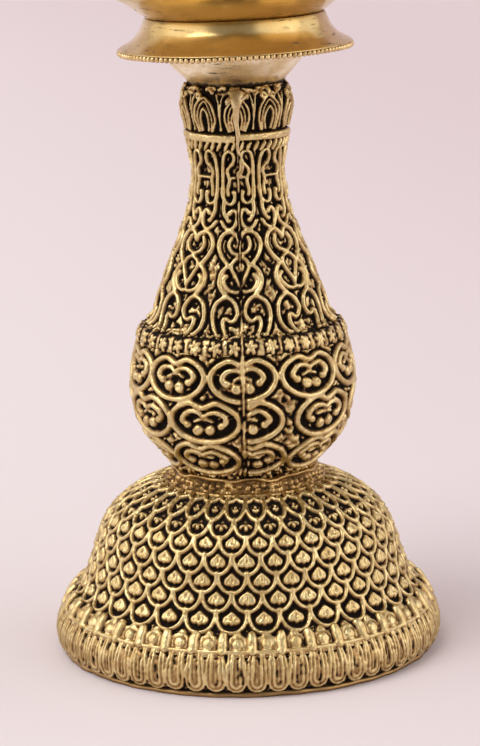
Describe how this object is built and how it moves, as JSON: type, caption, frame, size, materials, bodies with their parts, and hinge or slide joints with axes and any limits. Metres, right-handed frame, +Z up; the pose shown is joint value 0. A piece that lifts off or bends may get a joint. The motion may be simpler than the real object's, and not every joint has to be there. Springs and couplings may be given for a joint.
{
  "type": "standing oil lamp",
  "caption": "Tall brass oil lamp with a scale-patterned bell foot, scrollwork bulb and vase stem, beaded drip skirt, wick-spout dish and spire finial.",
  "frame": {"origin": "centre of the foot's flat resting face", "axes": "+Z up the stem, -Y is the front, where the stem's brazed seam shows; the seam lies in the YZ plane"},
  "size_m": [0.1304, 0.1304, 0.3047],
  "materials": {
    "antique_brass": "cast, dark patina in the recesses, polished on the high points",
    "polished_brass": "turned and polished, with smoky patina stains",
    "plain_brass": "as cast or as turned, dull",
    "zinc_steel": "zinc plated"
  },
  "bodies": {
    "stand": {"foot_ring": "antique_brass", "base_bell": "antique_brass", "collar_ring": "antique_brass", "stem_shell_left": "antique_brass", "stem_shell_right": "antique_brass", "stem_foot_plug": "plain_brass", "stem_head_plug": "plain_brass", "stem_stud": "plain_brass", "stud_washer": "zinc_steel", "stud_nut": "zinc_steel"},
    "head_riser": {"head_stud": "plain_brass"},
    "head": {"bowl_cup": "polished_brass", "drip_skirt": "polished_brass", "skirt_bead_wire": "polished_brass", "oil_dish": "polished_brass", "dish_post": "polished_brass"},
    "finial_riser": {"finial_stud": "plain_brass"},
    "finial": {"finial_body": "antique_brass", "finial_bead_wire": "polished_brass"}
  },
  "joints": [
    {"name": "head_rise", "type": "slide", "parent": "stand", "child": "head_riser", "axis": [0, 0, 1], "range_m": [0, 0.008]},
    {"name": "head_turn", "type": "hinge", "parent": "head_riser", "child": "head", "pos_m": [0, 0, 0.1887], "axis": [0, 0, 1], "range_deg": [0, 1925]},
    {"name": "finial_rise", "type": "slide", "parent": "head", "child": "finial_riser", "axis": [0, 0, 1], "range_m": [0, 0.0075]},
    {"name": "finial_turn", "type": "hinge", "parent": "finial_riser", "child": "finial", "pos_m": [0, 0, 0.2357], "axis": [0, 0, 1], "range_deg": [0, 2705]}
  ],
  "couplings": [
    {"joint": "head_turn", "follows": "head_rise", "rad_per_m": 4188.8},
    {"joint": "finial_turn", "follows": "finial_rise", "rad_per_m": 6283.2}
  ]
}
